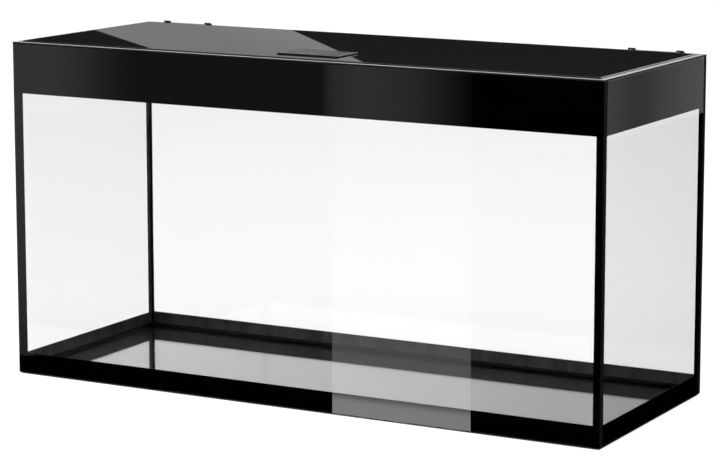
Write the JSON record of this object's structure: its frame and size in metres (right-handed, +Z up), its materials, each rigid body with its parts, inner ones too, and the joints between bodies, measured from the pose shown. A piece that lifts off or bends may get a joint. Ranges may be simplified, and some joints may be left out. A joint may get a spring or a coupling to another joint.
{
  "type": "aquarium",
  "caption": "Rectangular glass aquarium with black head and base bands, a narrow top rim, a hinged black lid and light bars that slide under it.",
  "frame": {"origin": "centre of the underside of the foam mat the tank stands on", "axes": "+Z up, +X to the viewer's right along the length, -Y to the front pane"},
  "size_m": [1.2, 0.45, 0.6327],
  "materials": {
    "clear_glass": "polished float glass, clear",
    "black_enamel": "black ceramic enamel fired on glass",
    "black_silicone": "satin black silicone sealant",
    "rim_aluminium": "satin dark anodised",
    "lid_glass": "black enamelled glass, polished top",
    "handle_plastic": "black, gloss",
    "pad_foam": "black foam tape",
    "seal_rubber": "black sponge rubber",
    "mat_foam": "black closed-cell foam",
    "hinge_plastic": "black, moulded",
    "pin_steel": "stainless, turned",
    "rail_aluminium": "satin natural anodised",
    "screw_steel": "stainless",
    "bar_aluminium": "satin dark anodised",
    "led_board": "white solder mask",
    "diffuser": "opal acrylic",
    "shoe_plastic": "black, moulded",
    "gland_plastic": "black nylon"
  },
  "bodies": {
    "tank": {"levelling_mat": "mat_foam", "bottom_pane": "clear_glass", "front_pane": "clear_glass", "back_pane": "clear_glass", "left_pane": "clear_glass", "right_pane": "clear_glass", "front_brace": "clear_glass", "back_brace": "clear_glass", "centre_brace": "clear_glass", "front_enamel": "black_enamel", "back_enamel_upper": "black_enamel", "back_enamel_lower": "black_enamel", "left_enamel": "black_enamel", "right_enamel": "black_enamel", "bottom_seam": "black_silicone", "front_brace_seam": "black_silicone", "back_brace_seam": "black_silicone", "corner_seam_front_left": "black_silicone", "corner_seam_front_right": "black_silicone", "corner_seam_back_left": "black_silicone", "corner_seam_back_right": "black_silicone", "rim_front": "rim_aluminium", "rim_back": "rim_aluminium", "rim_left": "rim_aluminium", "rim_right": "rim_aluminium", "lid_seal_front": "seal_rubber", "lid_seal_back": "seal_rubber", "lid_seal_left": "seal_rubber", "lid_seal_right": "seal_rubber", "hinge_base_left": "hinge_plastic", "hinge_base_right": "hinge_plastic", "hinge_pins_left": "pin_steel", "hinge_pins_right": "pin_steel", "light_rail_left": "rail_aluminium", "light_rail_right": "rail_aluminium", "rail_screws_left": "screw_steel", "rail_screws_right": "screw_steel"},
    "lid": {"lid_glass": "lid_glass", "handle_pad": "pad_foam", "lid_handle": "handle_plastic", "hinge_leaf_left": "hinge_plastic", "hinge_leaf_right": "hinge_plastic"},
    "front_light": {"front_light_housing": "bar_aluminium", "front_light_board": "led_board", "front_light_diffuser": "diffuser", "front_light_shoe_left": "shoe_plastic", "front_light_shoe_right": "shoe_plastic", "front_light_gland": "gland_plastic"},
    "back_light": {"back_light_housing": "bar_aluminium", "back_light_board": "led_board", "back_light_diffuser": "diffuser", "back_light_shoe_left": "shoe_plastic", "back_light_shoe_right": "shoe_plastic", "back_light_gland": "gland_plastic"}
  },
  "joints": [
    {"name": "lid_hinge", "type": "hinge", "parent": "tank", "child": "lid", "pos_m": [0, 0.218, 0.6305], "axis": [-1, 0, 0], "range_deg": [0, 100]},
    {"name": "front_light_slide", "type": "slide", "parent": "tank", "child": "front_light", "axis": [0, 1, 0], "range_m": [-0.06, 0.06]},
    {"name": "back_light_slide", "type": "slide", "parent": "tank", "child": "back_light", "axis": [0, 1, 0], "range_m": [-0.06, 0.06]}
  ]
}
